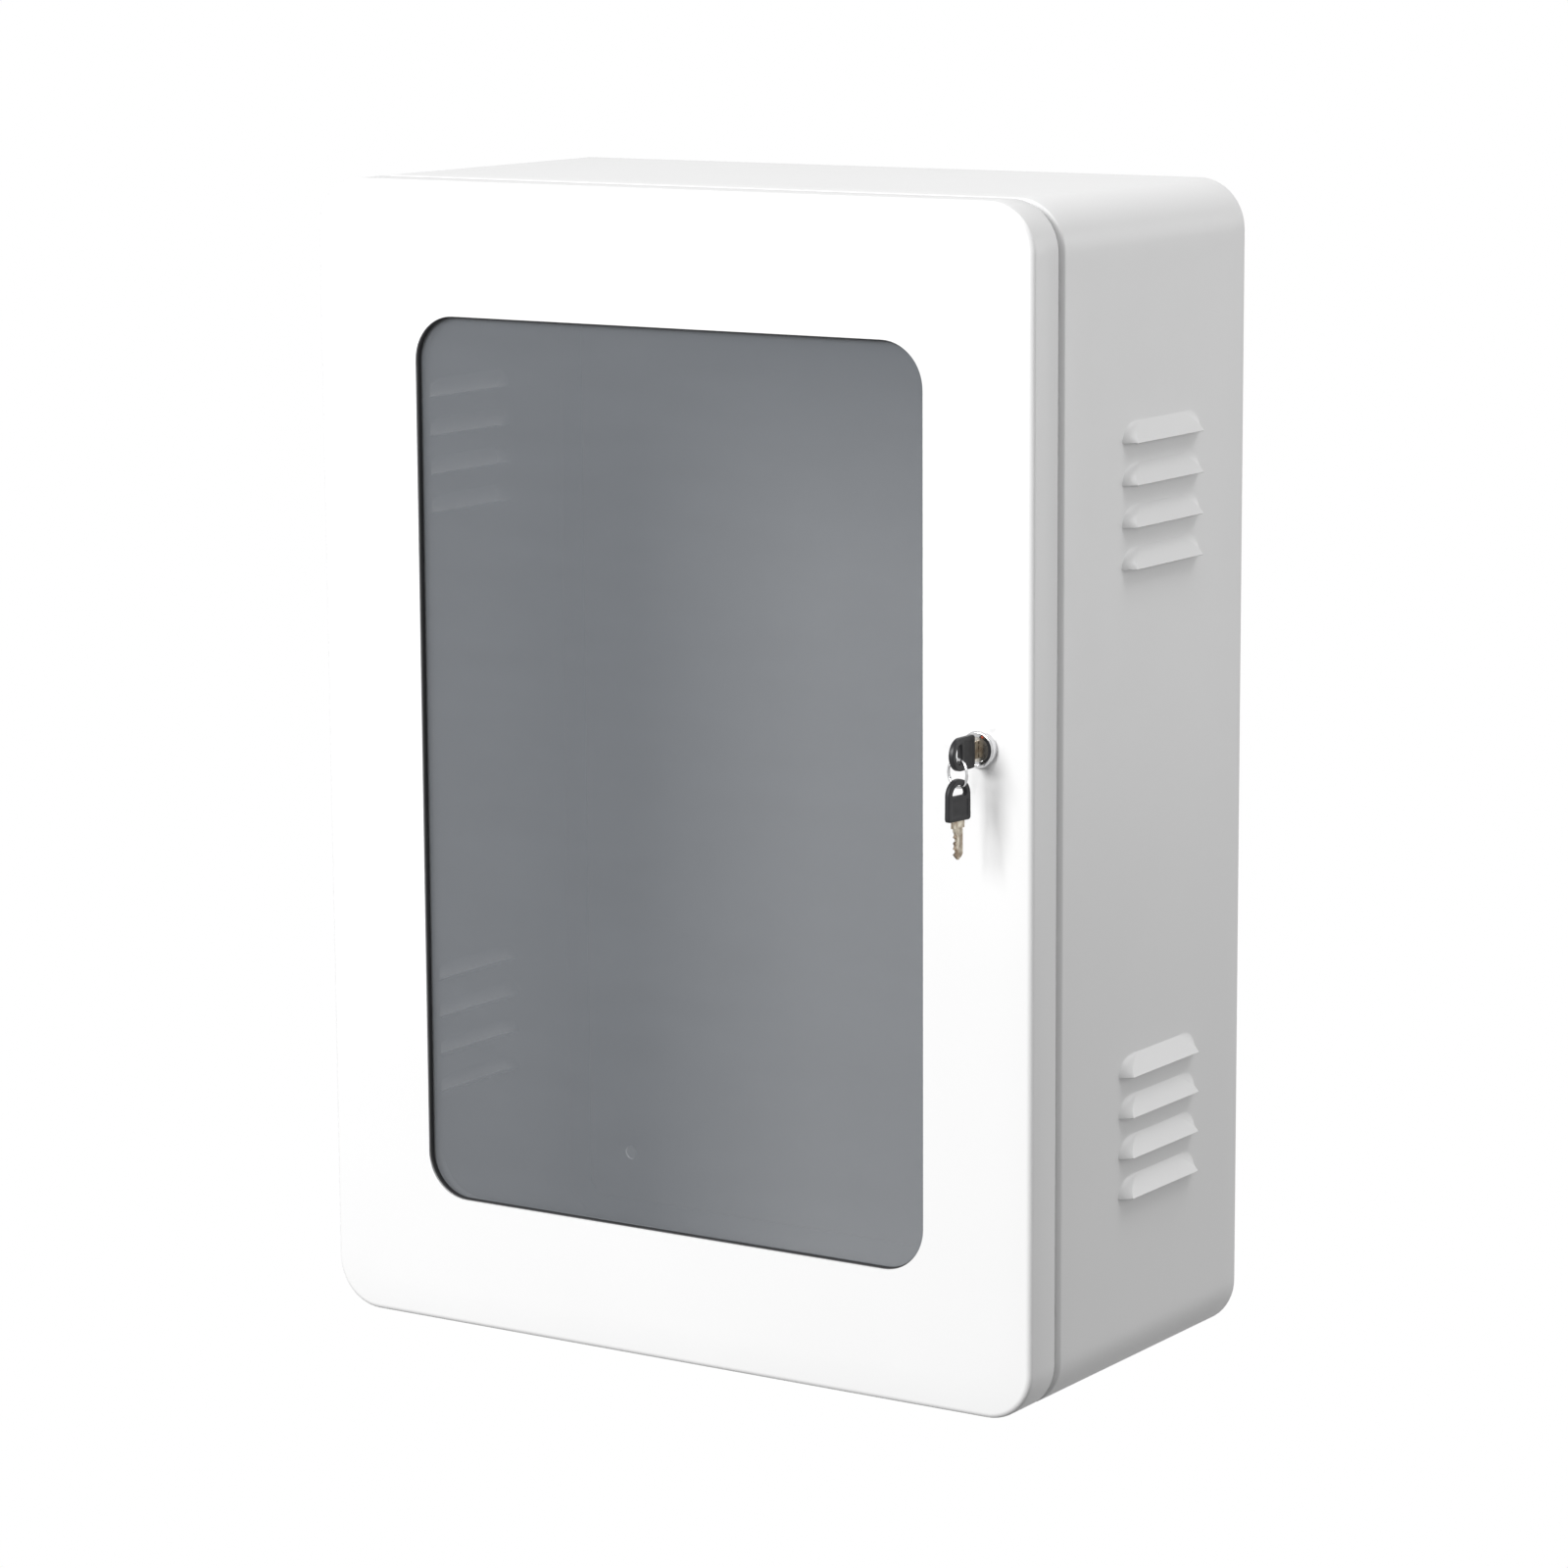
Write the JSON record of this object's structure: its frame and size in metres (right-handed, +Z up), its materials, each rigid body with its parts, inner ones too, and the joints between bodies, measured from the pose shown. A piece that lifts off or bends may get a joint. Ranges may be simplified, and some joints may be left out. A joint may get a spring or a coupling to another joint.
{
  "type": "parcel locker",
  "caption": "Wall cabinet with rounded corners, louvred sides and a hinged door that has a tinted window, a cam lock and its key on a split ring.",
  "frame": {"origin": "centre of the four wall fixing holes, on the rear face of the back panel", "axes": "+X to the right as one faces the door, +Y to the back into the wall, +Z up"},
  "size_m": [0.513, 0.2849, 0.7],
  "materials": {
    "cabinet_paint": "fine satin powder coat",
    "door_paint": "fine satin powder coat",
    "tinted_glass": "tinted, polished",
    "gasket_rubber": "matt moulded",
    "zinc_plate": "bright zinc plate",
    "pin_steel": "ground",
    "lock_chrome": "polished",
    "plug_metal": "satin nickel",
    "wafer_brass": "stamped",
    "index_enamel": "filled enamel",
    "key_metal": "nickel plate worn to brass",
    "key_plastic": "moulded"
  },
  "bodies": {
    "cabinet": {"body_wrap": "cabinet_paint", "back_panel": "cabinet_paint", "front_frame": "cabinet_paint", "frame_fold": "cabinet_paint", "upper_hinge_arm": "zinc_plate", "lower_hinge_arm": "zinc_plate", "hinge_arm_screws": "zinc_plate"},
    "door": {"door_skin": "door_paint", "door_weld_studs": "zinc_plate", "window_gasket": "gasket_rubber", "window_pane": "tinted_glass", "window_retainer": "door_paint", "retainer_nuts": "zinc_plate", "door_buffers": "gasket_rubber", "upper_door_bracket": "zinc_plate", "lower_door_bracket": "zinc_plate", "bracket_nuts": "zinc_plate", "upper_hinge_pin": "pin_steel", "lower_hinge_pin": "pin_steel", "lock_body": "lock_chrome", "lock_washer": "zinc_plate", "lock_nut": "zinc_plate", "index_dot": "index_enamel"},
    "lock_cylinder": {"lock_plug": "plug_metal", "lock_wafers": "wafer_brass", "lock_cam": "zinc_plate", "cam_washer": "zinc_plate", "cam_screw": "zinc_plate"},
    "key": {"key_blade": "key_metal", "key_head": "key_plastic"},
    "key_ring": {"split_ring": "lock_chrome"},
    "spare_key": {"spare_key_blade": "key_metal", "spare_key_head": "key_plastic"}
  },
  "joints": [
    {"name": "door_hinge", "type": "hinge", "parent": "cabinet", "child": "door", "pos_m": [-0.241, -0.235, 0], "axis": [0, 0, -1], "range_deg": [0, 105]},
    {"name": "lock_turn", "type": "hinge", "parent": "door", "child": "lock_cylinder", "pos_m": [0.2165, -0.25, 0.042], "axis": [0, -1, 0], "range_deg": [0, 90]},
    {"name": "key_slide", "type": "slide", "parent": "lock_cylinder", "child": "key", "axis": [0, -1, 0], "range_m": [0, 0.03]},
    {"name": "ring_swing", "type": "hinge", "parent": "key", "child": "key_ring", "pos_m": [0.2165, -0.2752, 0.0395], "axis": [0.9455, -0.3256, 0], "range_deg": [-45, 8]},
    {"name": "spare_key_swing", "type": "hinge", "parent": "key_ring", "child": "spare_key", "pos_m": [0.2165, -0.2752, 0.0235], "axis": [0.9455, -0.3256, 0], "range_deg": [-45, 10]}
  ]
}
